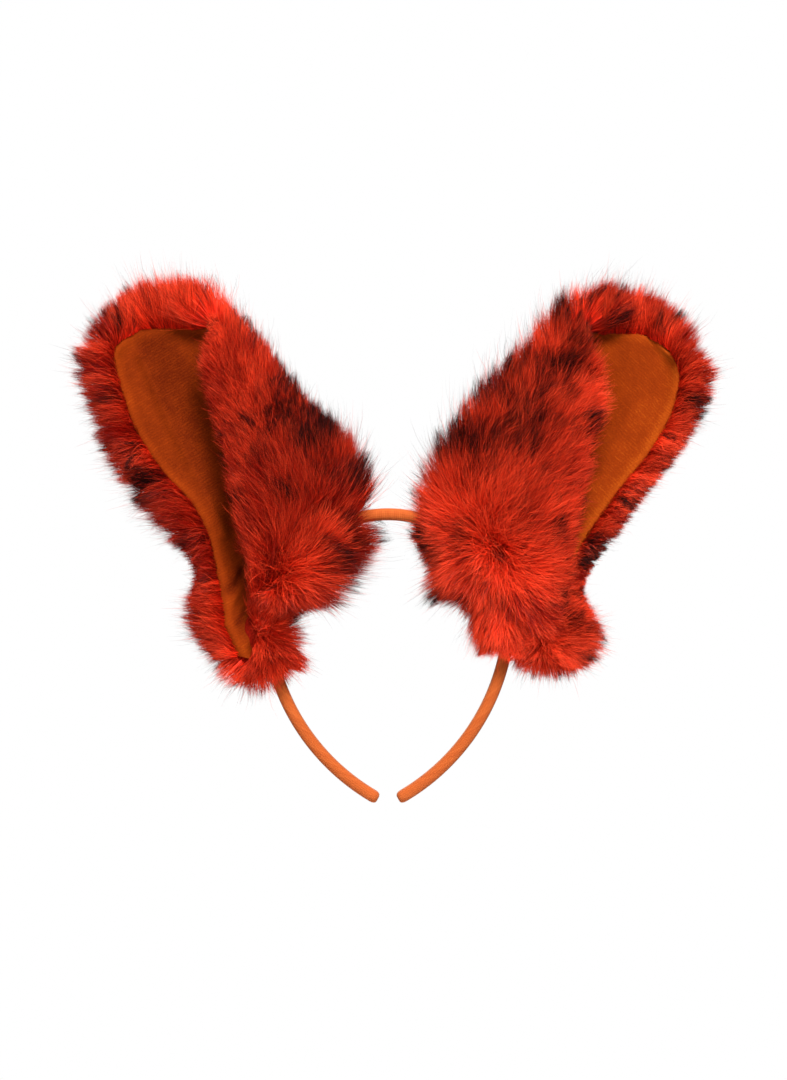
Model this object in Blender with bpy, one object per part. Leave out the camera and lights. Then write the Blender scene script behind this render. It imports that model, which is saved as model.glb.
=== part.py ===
"""Animal ears headband: a sleeved C-shaped band that carries two folded fur ears.

Metres, +Z up, the wearer's face towards -Y. The origin is the middle of the crown's
inner face, where the band sits on the head. Every ear is a leaf of fur fabric, foam and
velour lining. Its inner third folds forwards as a lobe, and its foot wraps the band.
"""

import math

import bpy
from mathutils import Vector

MM = 0.001
GAP = 0.3 * MM  # clearance between touching pieces

# ---- band -------------------------------------------------------------------------
CROWN_RADIUS = 57.0 * MM  # centreline of the crown
LEG_RADIUS = 104.0 * MM  # centreline of the legs, which curve less
CROWN_END = math.radians(104.0)  # where the crown's curve hands over to the leg's
CORE_END = math.radians(149.3)
TIP_END = math.radians(151.0)
FLEX_ANGLE = math.radians(20.0)  # the crown bends here when the legs spread
BAND_DEPTH = 11.0 * MM
BAND_THICK = 5.8 * MM
CORE_DEPTH = 7.0 * MM
CORE_THICK = 2.0 * MM
BORE_DEPTH = CORE_DEPTH + 2 * GAP
BORE_THICK = CORE_THICK + 2 * GAP
CROWN_STEPS = 9  # odd, so that a flat facet sits in the middle of the crown
HALF_STEP = FLEX_ANGLE / CROWN_STEPS
LEG_STEPS = (11, 7)  # along the crown's share of a leg, and along the rest of it
CORNER = 2.6 * MM  # of the sleeve's section
# the sleeve's tip: shares of its length, and its section's size there
SLEEVE_TIP = ((0.0, 1.0), (0.35, 1.0), (0.75, 0.84), (1.0, 0.5))
CROWN_CENTRE_Z = -(CROWN_RADIUS - BAND_THICK / 2) * math.cos(HALF_STEP)

# ---- wrap: the ear's foot, gathered round the band ----------------------------------
WRAP_START = math.radians(22.0)
WRAP_STEPS = 10
WRAP_RING = 20  # points round the wrap
WRAP_BOX = 0.75  # power of a soft box's section, which is fuller than an ellipse
WRAP_CLOSED = 0.62  # size of the wrap's two ends
WRAP_CLOSING = 2.0  # steps over which they close in
VELOUR = 1.2 * MM
THREAD_RADIUS = 0.35 * MM
THREAD_TURNS = 8
THREAD_MARGIN = math.radians(8.0)  # the thread stops this far from the wrap's ends
# how far the wrap's pile reaches inwards, at angles along the band from its crown
WRAP_INNER_REACH = ((22, 26), (38, 29), (71, 22), (92, 14), (108, 14))
WRAP_OUTER_REACH = 21.0 * MM
WRAP_FRONT_REACH = 29.0 * MM
WRAP_BACK_REACH = 21.0 * MM

# ---- hinge line of an ear: where the leaf leaves the wrap ---------------------------
HINGE_ANGLE = math.radians(62.0)
HINGE_OFFSET = 9.0 * MM  # from the band's centreline
TILT_RELIEF = math.radians(20.0)  # the foot of the leaf is cut to a V, so that it can tilt

# ---- leaf of an ear -----------------------------------------------------------------
# Widths are measured from the ear's long axis, outwards positive, at heights along it.
TOP = 156.0  # millimetres along the axis
OUTER_EDGE = ((-20, 28), (16, 26), (53, 21), (76, 20), (102, 28), (129, 32), (146, 29), (156, 17))
FOLD_LINE = ((20, -45), (60, -44), (98, -34), (132, -23), (148, -14), (156, -4))
LOBE_EDGE = ((0, 24), (26, 14), (69, 2), (119, -7), (137, -8), (156, -2))
FOLD_RADIUS = ((20, 9.0), (98, 8.0), (132, 6.0), (156, 4.0))
LEAST_LOBE = 10.0
FOLD_TURN = ((20, 180), (112, 180), (140, 75), (156, 15))
BACK_DEPTH = 8.0  # how far the back of the leaf lies behind the band's middle
CUP = 0.4  # share of the back over which the outer edge curls forwards
FOAM_HALF = 1.0
LINING_FACE = 2.1
FUR_FACE = 2.3
PILE = 18.0
EDGE_CHANNEL = 4.0  # free of foam, for the wire in the seam
FOAM_TOP = TOP - EDGE_CHANNEL
WIRE_RADIUS = 0.6 * MM
WIRE_INSET = 1.6
WIRE_SIDES = 6
WIRE_STEPS = 14  # up each of its two sides
WIRE_FOOT = 14.0  # height of its end at the outer edge
WIRE_LOBE_FOOT = 40.0
LEAF_STEPS = 12
BACK_POINTS = 6  # across the back, round the fold and along the lobe of a leaf's section
FOLD_POINTS = 6
# the pile's fans round the two edges of a leaf, in degrees from the edge's own direction
OUTER_FAN = (-50, -25, 0, 25, 50)
LOBE_FAN = (60, 30, 0, -30)
OUTER_SEAM = 2.0  # how far the fans' roots step off over the seam
LOBE_SEAM = 1.5
LEAST_PILE = 0.5
LOBE_PILE = (0.275, 0.225)  # least share of the pile on the lobe's edge, and what it gains
CREST_FAN = (4, 30, 55, 72)  # the pile's fan over the top
CREST_GAP = 0.4
CREST_LOW = -3.5  # the pile over the top also covers the lining's edge
FOOT_GUESS = 40.0  # start, steps and stride of the search for a leaf's foot
FOOT_STEPS = 20
FOOT_STRIDE = 0.8

EARS = {
    "left": {"side": -1, "foot": (-49.0 * MM, -48.0 * MM), "lean": math.radians(22.0)},
    "right": {"side": 1, "foot": (55.0 * MM, -49.0 * MM), "lean": math.radians(23.6)},
}
WRAP_ENDS = {"left": math.radians(107.0), "right": math.radians(97.0)}

COLOURS = {
    "fur": ((0.42, 0.022, 0.014, 1.0), 0.9),
    "velour": ((0.31, 0.045, 0.008, 1.0), 0.85),
    "foam": ((0.75, 0.72, 0.62, 1.0), 0.95),
    "band_knit": ((0.66, 0.14, 0.03, 1.0), 0.85),
    "plastic": ((0.62, 0.58, 0.5, 1.0), 0.45),
    "thread": ((0.5, 0.09, 0.02, 1.0), 0.7),
    "steel": ((0.55, 0.55, 0.56, 1.0), 0.35),
}


def smooth_curve(points, at):
    """The value at one place of the smooth curve through points (place, value).

    It never overshoots its points: a flat stretch or a turning point has no slope.
    """
    places = [p[0] for p in points]
    values = [p[1] for p in points]
    if at <= places[0]:
        return values[0]
    if at >= places[-1]:
        return values[-1]
    rises = [(b[1] - a[1]) / (b[0] - a[0]) for a, b in zip(points, points[1:])]
    slopes = [rises[0]]
    for before, after in zip(rises, rises[1:]):
        both = before * after
        slopes.append(2 * both / (before + after) if both > 0 else 0.0)
    slopes.append(rises[-1])
    i = max(k for k in range(len(points) - 1) if places[k] <= at)
    span = places[i + 1] - places[i]
    t = (at - places[i]) / span
    return (
        (2 * t**3 - 3 * t**2 + 1) * values[i]
        + (t**3 - 2 * t**2 + t) * span * slopes[i]
        + (3 * t**2 - 2 * t**3) * values[i + 1]
        + (t**3 - t**2) * span * slopes[i + 1]
    )


# ---- scene helpers ------------------------------------------------------------------


def clear_scene():
    for obj in list(bpy.data.objects):
        bpy.data.objects.remove(obj, do_unlink=True)


def make_material(name):
    colour, roughness = COLOURS[name]
    material = bpy.data.materials.get(name)
    if material is None:
        material = bpy.data.materials.new(name)
        material.use_nodes = True
        shader = material.node_tree.nodes["Principled BSDF"]
        shader.inputs["Base Color"].default_value = colour
        shader.inputs["Roughness"].default_value = roughness
        shader.inputs["Metallic"].default_value = 1.0 if name == "steel" else 0.0
        material.diffuse_color = colour
    return material


def make_pivot(name, place, parent=None):
    """An empty on a joint's axis. place is in world metres."""
    pivot = bpy.data.objects.new(name, None)
    pivot.empty_display_size = 0.01
    start = parent["world_place"] if parent else (0.0, 0.0, 0.0)
    pivot.location = Vector(place) - Vector(start)
    pivot.parent = parent
    pivot["world_place"] = place
    bpy.context.collection.objects.link(pivot)
    return pivot


def make_piece(name, verts, faces, material, pivot, sharp=math.radians(40)):
    """A mesh object under its pivot. verts are in world metres."""
    start = Vector(pivot["world_place"])
    mesh = bpy.data.meshes.new(name)
    mesh.from_pydata([Vector(v) - start for v in verts], [], faces)
    mesh.validate()
    mesh.shade_smooth()
    mesh.set_sharp_from_angle(angle=sharp)
    mesh.materials.append(make_material(material))
    obj = bpy.data.objects.new(name, mesh)
    obj.parent = pivot
    bpy.context.collection.objects.link(obj)
    return obj


def tube_between_rings(rings, inner=None):
    """A closed body along rings of points, solid, or hollow round the inner rings."""
    count = len(rings[0])
    verts = [p for ring in rings for p in ring]
    faces = []

    def skin(start, flip):
        for i in range(len(rings) - 1):
            for j in range(count):
                a = start + i * count + j
                b = start + i * count + (j + 1) % count
                quad = (a, b, b + count, a + count)
                faces.append(quad[::-1] if flip else quad)

    skin(0, False)
    last = (len(rings) - 1) * count
    if inner is None:
        faces.append(tuple(reversed(range(count))))
        faces.append(tuple(range(last, last + count)))
        return verts, faces
    shift = len(verts)
    verts += [p for ring in inner for p in ring]
    skin(shift, True)
    for j in range(count):
        k = (j + 1) % count
        faces.append((j, shift + j, shift + k, k))
        faces.append((last + k, last + shift + k, last + shift + j, last + j))
    return verts, faces


# ---- band ---------------------------------------------------------------------------


def band_frame(side, angle):
    """The centreline point of the band at an angle from the crown, and its outward normal."""
    normal = Vector((side * math.sin(angle), 0.0, math.cos(angle)))
    centre = Vector((0.0, 0.0, CROWN_CENTRE_Z))
    if angle <= CROWN_END:
        return centre + CROWN_RADIUS * normal, normal
    turn = Vector((side * math.sin(CROWN_END), 0.0, math.cos(CROWN_END)))
    leg_centre = centre + (CROWN_RADIUS - LEG_RADIUS) * turn
    return leg_centre + LEG_RADIUS * normal, normal


def rounded_section(depth, thick, corner, steps=1):
    """Points (outwards, back) of a rounded rectangle round the band's centreline."""
    points = []
    for quarter in range(4):
        sx = 1 if quarter in (0, 3) else -1
        sy = 1 if quarter in (0, 1) else -1
        middle = (sx * (thick / 2 - corner), sy * (depth / 2 - corner))
        for k in range(steps + 1):
            turn = math.pi / 2 * (quarter + k / steps)
            points.append(
                (middle[0] + corner * math.cos(turn), middle[1] + corner * math.sin(turn))
            )
    return points


def place_section(side, angle, section):
    """A section's points in world metres, turning the same way on both sides."""
    point, normal = band_frame(side, angle)
    ring = [point + out * normal + Vector((0.0, back, 0.0)) for out, back in section]
    return ring[::-1] if side > 0 else ring


def angles_between(start, end, steps):
    return [start + (end - start) * i / steps for i in range(steps + 1)]


def sleeve_section():
    return rounded_section(BAND_DEPTH, BAND_THICK, CORNER)


def bore_section():
    return rounded_section(BORE_DEPTH, BORE_THICK, 1.2 * MM)


def core_section():
    return rounded_section(CORE_DEPTH, CORE_THICK, 0.9 * MM)


def build_crown(pivot):
    half_gap = GAP / 2 / CROWN_RADIUS
    end = FLEX_ANGLE - half_gap
    angles = angles_between(-end, end, CROWN_STEPS)
    core = [place_section(1, a, core_section()) for a in angles]
    make_piece("band_core_crown", *tube_between_rings(core), "plastic", pivot)
    outer = [place_section(1, a, sleeve_section()) for a in angles]
    inner = [place_section(1, a, bore_section()) for a in angles]
    make_piece("band_sleeve_crown", *tube_between_rings(outer, inner), "band_knit", pivot)


def build_leg(name, side, pivot):
    start = FLEX_ANGLE + GAP / 2 / CROWN_RADIUS
    angles = angles_between(start, CROWN_END, LEG_STEPS[0])
    angles += angles_between(CROWN_END, CORE_END, LEG_STEPS[1])[1:]
    core = [place_section(side, a, core_section()) for a in angles]
    make_piece(f"band_core_{name}", *tube_between_rings(core), "plastic", pivot)
    outer = [place_section(side, a, sleeve_section()) for a in angles]
    inner = [place_section(side, a, bore_section()) for a in angles]
    make_piece(f"band_sleeve_{name}", *tube_between_rings(outer, inner), "band_knit", pivot)
    # the sleeve's end, turned in and glued over the core's tip
    tip = []
    for share, shrink in SLEEVE_TIP:
        from_core = CORE_END + GAP / LEG_RADIUS
        angle = from_core + (TIP_END - from_core) * share
        section = [(shrink * out, shrink * back) for out, back in sleeve_section()]
        tip.append(place_section(side, angle, section))
    make_piece(f"band_sleeve_end_{name}", *tube_between_rings(tip), "band_knit", pivot)


# ---- wrap ---------------------------------------------------------------------------


def wrap_outline(angle):
    """Points (outwards, back) of the wrap's pile at an angle along the band."""
    to_hinge = (CROWN_RADIUS + HINGE_OFFSET) / math.cos(angle - HINGE_ANGLE) - CROWN_RADIUS
    outward = min(WRAP_OUTER_REACH, to_hinge - 2 * GAP)
    inward = smooth_curve(WRAP_INNER_REACH, math.degrees(angle)) * MM
    points = []
    for k in range(WRAP_RING):
        turn = 2 * math.pi * (k + 0.5) / WRAP_RING
        cos, sin = math.cos(turn), math.sin(turn)
        reach = outward if cos > 0 else inward
        depth = WRAP_BACK_REACH if sin > 0 else WRAP_FRONT_REACH
        out = reach * math.copysign(abs(cos) ** WRAP_BOX, cos)
        back = depth * math.copysign(abs(sin) ** WRAP_BOX, sin)
        points.append((out, back))
    return points


def ring_like(section):
    """A rounded section resampled to the wrap's ring, by direction from its middle."""
    points = []
    for k in range(WRAP_RING):
        turn = 2 * math.pi * (k + 0.5) / WRAP_RING
        direction = Vector((math.cos(turn), math.sin(turn)))
        best = None
        for i, a in enumerate(section):
            b = section[(i + 1) % len(section)]
            edge = Vector((b[0] - a[0], b[1] - a[1]))
            det = direction.x * -edge.y + edge.x * direction.y
            if abs(det) < 1e-12:
                continue
            far = (a[0] * -edge.y + edge.x * a[1]) / det
            along = (direction.x * a[1] - direction.y * a[0]) / det
            if far > 0 and -1e-6 <= along <= 1 + 1e-6:
                best = far if best is None else max(best, far)
        points.append((best * direction.x, best * direction.y))
    return points


def grown_section(grow):
    return rounded_section(BAND_DEPTH + 2 * grow, BAND_THICK + 2 * grow, CORNER + grow)


def build_wrap(name, side, pivot):
    angles = angles_between(WRAP_START, WRAP_ENDS[name], WRAP_STEPS)
    lining_out = [place_section(side, a, grown_section(GAP + VELOUR)) for a in angles]
    lining_in = [place_section(side, a, grown_section(GAP)) for a in angles]
    make_piece(
        f"wrap_lining_{name}", *tube_between_rings(lining_out, lining_in), "velour", pivot
    )

    bore = ring_like(grown_section(GAP + VELOUR + GAP + 2 * THREAD_RADIUS + 3 * GAP))
    outer, inner = [], []
    for index, angle in enumerate(angles):
        # the pile closes in round the band at both ends of the wrap
        share = min(min(index, WRAP_STEPS - index) / WRAP_CLOSING, 1.0)
        ease = WRAP_CLOSED + (1 - WRAP_CLOSED) * math.sin(share * math.pi / 2)
        outline = [(out * ease, back * ease) for out, back in wrap_outline(angle)]
        outer.append(place_section(side, angle, outline))
        inner.append(place_section(side, angle, bore))
    make_piece(f"wrap_fur_{name}", *tube_between_rings(outer, inner), "fur", pivot)

    build_thread(name, side, pivot)


def build_thread(name, side, pivot):
    """The gathering thread, wound round the lining's foot."""
    path = grown_section(GAP + VELOUR + GAP + THREAD_RADIUS)
    per_turn = len(path)
    total = THREAD_TURNS * per_turn
    start, end = WRAP_START + THREAD_MARGIN, WRAP_ENDS[name] - THREAD_MARGIN
    centres = []
    for k in range(total + 1):
        angle = start + (end - start) * k / total
        out, back = path[k % per_turn]
        point, normal = band_frame(side, angle)
        centres.append(point + out * normal + Vector((0.0, back, 0.0)))
    verts, faces = round_tube(centres, THREAD_RADIUS, 4)
    make_piece(f"wrap_thread_{name}", verts, faces, "thread", pivot)


def round_tube(centres, radius, sides):
    """A closed round tube along a path of points, with a frame carried along it."""
    rings = []
    across = None
    for k, centre in enumerate(centres):
        ahead = centres[min(k + 1, len(centres) - 1)] - centres[max(k - 1, 0)]
        ahead.normalize()
        if across is None:
            across = ahead.orthogonal().normalized()
        across = (across - across.dot(ahead) * ahead).normalized()
        up = ahead.cross(across)
        rings.append(
            [
                centre
                + radius * (math.cos(t) * across + math.sin(t) * up)
                for t in (2 * math.pi * j / sides for j in range(sides))
            ]
        )
    return tube_between_rings(rings)


# ---- leaf of an ear -----------------------------------------------------------------


def hinge_line(side):
    """A point on an ear's hinge line and the line's outward normal."""
    normal = Vector((side * math.sin(HINGE_ANGLE), 0.0, math.cos(HINGE_ANGLE)))
    point = Vector((0.0, 0.0, CROWN_CENTRE_Z)) + (CROWN_RADIUS + HINGE_OFFSET) * normal
    return point, normal


def leaf_path(height, inset=0.0):
    """The fabric's middle line across the ear at a height, outer edge to lobe edge.

    Each entry is (across, back, outward normal across, outward normal back), in
    millimetres. The normal points to the fur's side. Both ends stand back by the inset.
    """
    edge = smooth_curve(OUTER_EDGE, height)
    fold = smooth_curve(FOLD_LINE, height)
    radius = smooth_curve(FOLD_RADIUS, height)
    turn = math.radians(smooth_curve(FOLD_TURN, height))
    lobe = max(smooth_curve(LOBE_EDGE, height) - fold - radius, LEAST_LOBE)
    width = edge - fold - radius
    points = []
    for k in range(BACK_POINTS):
        share = k / BACK_POINTS
        across = edge - width * share
        rise = min(share / CUP, 1.0)
        back = BACK_DEPTH * (1 - (1 - rise) ** 2)
        points.append((across, back))
    for k in range(FOLD_POINTS):
        angle = turn * k / (FOLD_POINTS - 1)
        points.append(
            (
                fold + radius - radius * math.sin(angle),
                BACK_DEPTH - radius * (1 - math.cos(angle)),
            )
        )
    last = points[-1]
    for run in (lobe / 2, lobe):
        points.append((last[0] - run * math.cos(turn), last[1] - run * math.sin(turn)))
    path = []
    for k, (across, back) in enumerate(points):
        ahead = points[min(k + 1, len(points) - 1)]
        behind = points[max(k - 1, 0)]
        run = Vector((ahead[0] - behind[0], ahead[1] - behind[1])).normalized()
        path.append((across, back, run.y, -run.x))
    for end, beside in ((0, 1), (-1, -2)):
        (ax, ay), (bx, by) = points[end], points[beside]
        share = inset / math.dist(points[end], points[beside])
        path[end] = (ax + (bx - ax) * share, ay + (by - ay) * share, *path[end][2:])
    return path


def sheet_pairs(height, low, high, inset=0.0):
    """Pairs of points on the two faces of a sheet, offset from the fabric's middle line."""
    pairs = []
    for across, back, na, nb in leaf_path(height, inset=inset):
        pairs.append(
            ((across + low * na, back + low * nb), (across + high * na, back + high * nb))
        )
    return pairs


def fan_share(fan, degrees):
    """How far through a fan a direction is, 0..1."""
    return (degrees - fan[0]) / (fan[-1] - fan[0])


def fur_pairs(height, pile, low=FUR_FACE):
    """Pairs of points on the fur's backing and on the ends of its pile."""
    path = leaf_path(height)
    pairs = []
    across, back, na, nb = path[0]
    outwards = (-nb, na) if nb < 0 else (nb, -na)
    for degrees in OUTER_FAN:
        turn = math.radians(degrees)
        da = math.cos(turn) * outwards[0] + math.sin(turn) * na
        db = math.cos(turn) * outwards[1] + math.sin(turn) * nb
        near = low + OUTER_SEAM * fan_share(OUTER_FAN[::-1], degrees)
        far = max(pile, near + LEAST_PILE)
        pairs.append(((across + near * da, back + near * db), (across + far * da, back + far * db)))
    for across, back, na, nb in path:
        pairs.append(
            ((across + low * na, back + low * nb), (across + pile * na, back + pile * nb))
        )
    across, back, na, nb = path[-1]
    onwards = (-nb, na)
    least, gain = LOBE_PILE
    for degrees in LOBE_FAN:
        turn = math.radians(degrees)
        da = math.cos(turn) * onwards[0] + math.sin(turn) * na
        db = math.cos(turn) * onwards[1] + math.sin(turn) * nb
        near = low + LOBE_SEAM * fan_share(LOBE_FAN, degrees)
        far = near + (pile - low) * (least + gain * math.sin(max(turn, 0)))
        pairs.append(((across + near * da, back + near * db), (across + far * da, back + far * db)))
    return pairs


class Ear:
    """Places the leaf's own coordinates in the world and finds its V-shaped foot."""

    def __init__(self, side, foot, lean):
        self.side = side
        self.foot = Vector((foot[0], 0.0, foot[1]))
        self.axis = Vector((side * math.sin(lean), 0.0, math.cos(lean)))
        self.outwards = Vector((side * math.cos(lean), 0.0, -math.sin(lean)))
        self.hinge, self.normal = hinge_line(side)

    def world(self, across, back, height):
        point = self.foot + MM * (across * self.outwards + height * self.axis)
        return point + Vector((0.0, back * MM, 0.0))

    def foot_height(self, point_at):
        """The height at which point_at(height) stands on the V-shaped foot."""
        height = FOOT_GUESS
        climb = self.axis.dot(self.normal) * MM
        for _ in range(FOOT_STEPS):
            across, back = point_at(height)
            place = self.world(across, back, height)
            want = abs(place.y) * math.tan(TILT_RELIEF) + GAP
            height -= FOOT_STRIDE * ((place - self.hinge).dot(self.normal) - want) / climb
        return height

    def feet(self, pairs_at, face):
        """The foot's height at every point of a sheet's face."""
        count = len(pairs_at(TOP))
        return [self.foot_height(lambda h, k=k: pairs_at(h)[k][face]) for k in range(count)]

    def level_feet(self, pairs_at):
        """The foot's height at every pair of a sheet, clear for both of its faces."""
        return [max(pair) for pair in zip(self.feet(pairs_at, 0), self.feet(pairs_at, 1))]

    def loft(self, pairs_at, feet, crest=()):
        """A closed sheet from its V-shaped foot to the foam's top. pairs_at(height) gives
        its pairs, feet the foot of each pair's two ends, and crest holds rows above."""
        rows = []
        for step in range(LEAF_STEPS + 1):
            share = step / LEAF_STEPS
            row = []
            for k, foot in enumerate(feet):
                ends = []
                for face in (0, 1):
                    height = foot[face] + (FOAM_TOP - foot[face]) * share
                    ends.append(self.world(*pairs_at(height)[k][face], height))
                row.append(ends)
            rows.append(row)
        for height, pairs in crest:
            rows.append([[self.world(*end, height) for end in pair] for pair in pairs])
        return self.close_rows(rows)

    def close_rows(self, rows):
        count = len(rows[0])
        verts, faces = [], []
        for row in rows:
            for pair in row:
                verts += pair

        def vertex(step, k, face):
            return (step * count + k) * 2 + face

        def add(a, b, c, d, flip):
            # the same diagonal in every layer, so that warped quads nest too
            for corner in ((a, b, c), (a, c, d)):
                faces.append(corner[::-1] if flip == (self.side > 0) else corner)

        for step in range(len(rows) - 1):
            for k in range(count - 1):
                for face in (0, 1):
                    add(
                        vertex(step, k, face),
                        vertex(step, k + 1, face),
                        vertex(step + 1, k + 1, face),
                        vertex(step + 1, k, face),
                        flip=face == 0,
                    )
            for k in (0, count - 1):
                add(
                    vertex(step, k, 0),
                    vertex(step, k, 1),
                    vertex(step + 1, k, 1),
                    vertex(step + 1, k, 0),
                    flip=k > 0,
                )
        for step in (0, len(rows) - 1):
            for k in range(count - 1):
                add(
                    vertex(step, k, 0),
                    vertex(step, k + 1, 0),
                    vertex(step, k + 1, 1),
                    vertex(step, k, 1),
                    flip=step > 0,
                )
        return verts, faces


def build_leaf(name, dims, pivot):
    ear = Ear(**dims)
    lining_back = LINING_FACE + VELOUR / MM
    # one set of feet for all layers keeps their rows level, so that they nest
    level = ear.level_feet(lambda h: sheet_pairs(h, -lining_back, FUR_FACE))
    feet = [(height, height) for height in level]

    edge = [(TOP, sheet_pairs(TOP, -lining_back, -LINING_FACE))]
    lining = ear.loft(lambda h: sheet_pairs(h, -lining_back, -LINING_FACE), feet, edge)
    make_piece(f"ear_lining_{name}", *lining, "velour", pivot)
    inset = ear.level_feet(lambda h: sheet_pairs(h, -lining_back, FUR_FACE, EDGE_CHANNEL))
    foam_feet = [(inset[0],) * 2, *feet[1:-1], (inset[-1],) * 2]
    foam = ear.loft(lambda h: sheet_pairs(h, -FOAM_HALF, FOAM_HALF, EDGE_CHANNEL), foam_feet)
    make_piece(f"ear_foam_{name}", *foam, "foam", pivot)

    crest = [(TOP + CREST_GAP, fur_pairs(TOP, PILE))]
    for degrees in CREST_FAN:
        turn = math.radians(degrees)
        height = TOP + PILE * math.sin(turn)
        crest.append((height, fur_pairs(TOP, PILE * math.cos(turn), low=CREST_LOW)))
    tips = ear.feet(lambda h: fur_pairs(h, PILE), 1)
    backing = [level[0]] * len(OUTER_FAN) + level + [level[-1]] * len(LOBE_FAN)
    fur_feet = [(low, max(low, tip)) for low, tip in zip(backing, tips)]
    fur = ear.loft(lambda h: fur_pairs(h, PILE), fur_feet, crest)
    make_piece(f"ear_fur_{name}", *fur, "fur", pivot)
    build_wire(name, ear, pivot)


def build_wire(name, ear, pivot):
    """The wire hoop in the seam, up the outer edge, over the top and down the lobe's edge."""
    route = []
    crest = TOP - WIRE_INSET
    for k in range(WIRE_STEPS + 1):
        height = WIRE_FOOT + (crest - WIRE_FOOT) * k / WIRE_STEPS
        across, back, _, _ = leaf_path(height, inset=WIRE_INSET)[0]
        route.append(ear.world(across, back, height))
    top_path = leaf_path(crest, inset=WIRE_INSET)
    for across, back, _, _ in top_path[1:-1:2]:
        route.append(ear.world(across, back, crest))
    for k in range(WIRE_STEPS + 1):
        height = crest + (WIRE_LOBE_FOOT - crest) * k / WIRE_STEPS
        across, back, _, _ = leaf_path(height, inset=WIRE_INSET)[-1]
        route.append(ear.world(across, back, height))
    verts, faces = round_tube(route, WIRE_RADIUS, WIRE_SIDES)
    make_piece(f"ear_wire_{name}", verts, faces, "steel", pivot)


def main():
    clear_scene()
    root = make_pivot("headband", (0.0, 0.0, 0.0))
    build_crown(root)
    for name, dims in EARS.items():
        side = dims["side"]
        hinge, _ = hinge_line(side)
        bend, normal = band_frame(side, FLEX_ANGLE)
        flex = make_pivot(f"flex_{name}", tuple(bend + BAND_THICK / 2 * normal), root)
        tilt = make_pivot(f"tilt_{name}", tuple(hinge), flex)
        build_leg(name, side, flex)
        build_wrap(name, side, flex)
        build_leaf(name, dims, tilt)


main()
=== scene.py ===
"""Looks of the animal ears headband: a knitted band sleeve and two folded faux-fur ears.

Metres, +Z up, the wearer's face towards -Y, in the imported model's frame. Widths and heights
on an ear are in millimetres across and along its own long axis.
"""

import math

import bpy
import numpy as np
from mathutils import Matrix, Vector
from mathutils.kdtree import KDTree


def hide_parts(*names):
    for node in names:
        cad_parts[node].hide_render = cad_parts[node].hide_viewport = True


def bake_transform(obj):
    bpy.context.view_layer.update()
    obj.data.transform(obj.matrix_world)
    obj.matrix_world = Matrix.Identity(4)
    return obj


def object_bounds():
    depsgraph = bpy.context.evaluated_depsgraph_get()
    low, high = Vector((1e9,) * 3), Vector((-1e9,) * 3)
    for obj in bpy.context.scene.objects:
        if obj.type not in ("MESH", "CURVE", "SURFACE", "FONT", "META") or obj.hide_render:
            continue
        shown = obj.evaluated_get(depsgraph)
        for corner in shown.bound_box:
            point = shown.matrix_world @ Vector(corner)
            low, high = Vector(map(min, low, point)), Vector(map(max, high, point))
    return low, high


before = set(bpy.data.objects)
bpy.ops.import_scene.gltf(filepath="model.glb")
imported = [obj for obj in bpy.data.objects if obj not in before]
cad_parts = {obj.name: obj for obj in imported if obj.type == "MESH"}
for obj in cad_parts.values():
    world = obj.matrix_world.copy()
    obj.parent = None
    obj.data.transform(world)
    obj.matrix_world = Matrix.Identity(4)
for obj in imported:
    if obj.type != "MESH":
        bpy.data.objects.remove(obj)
CAD_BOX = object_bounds()
BOX_LOW, BOX_HIGH = (np.array(corner) for corner in CAD_BOX)
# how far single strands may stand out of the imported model's box
PROUD = 0.009 + 0.03 * (BOX_HIGH - BOX_LOW)

MM = 0.001
BACKWARDS = np.array([0.0, 1.0, 0.0])
SIDES = {"left": -1, "right": 1}

# ---- band ----
CROWN_RADIUS = 57.0 * MM
LEG_RADIUS = 104.0 * MM
CROWN_END = math.radians(104.0)
CORE_END = math.radians(149.3)
TIP_END = math.radians(151.0)
FLEX_ANGLE = math.radians(20.0)
BAND_DEPTH = 11.0 * MM
BAND_THICK = 5.8 * MM
CROWN_CENTRE = np.array([0.0, 0.0, -(CROWN_RADIUS - BAND_THICK / 2) * math.cos(FLEX_ANGLE / 9)])

# ---- wrap ----
WRAP_START = 22.0  # degrees round the band from the crown
WRAP_INNER_REACH = ((22, 26), (38, 29), (71, 22), (92, 14), (108, 14))
WRAP_OUTER_REACH = 21.0
WRAP_FRONT_REACH = 29.0
WRAP_BACK_REACH = 21.0
HINGE_ANGLE = math.radians(62.0)
HINGE_OFFSET = 9.0 * MM

# ---- leaf ----
TOP = 156.0
FOLD_LINE = ((16, -26), (30, -38), (46, -43), (60, -44), (98, -34), (132, -23), (148, -14),
             (156, -4))
FOLD_RADIUS = ((20, 9.0), (98, 8.0), (132, 6.0), (156, 4.0))
FOLD_TURN = ((20, 180), (112, 180), (140, 75), (156, 15))
LEAST_LOBE = 10.0
BACK_DEPTH = 8.0
CUP = 0.4  # the share of the back over which it curves to its depth
FUR_FACE = 2.3  # how far the sheets stand off the leaf's middle
LINING_FACE = 3.3


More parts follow.
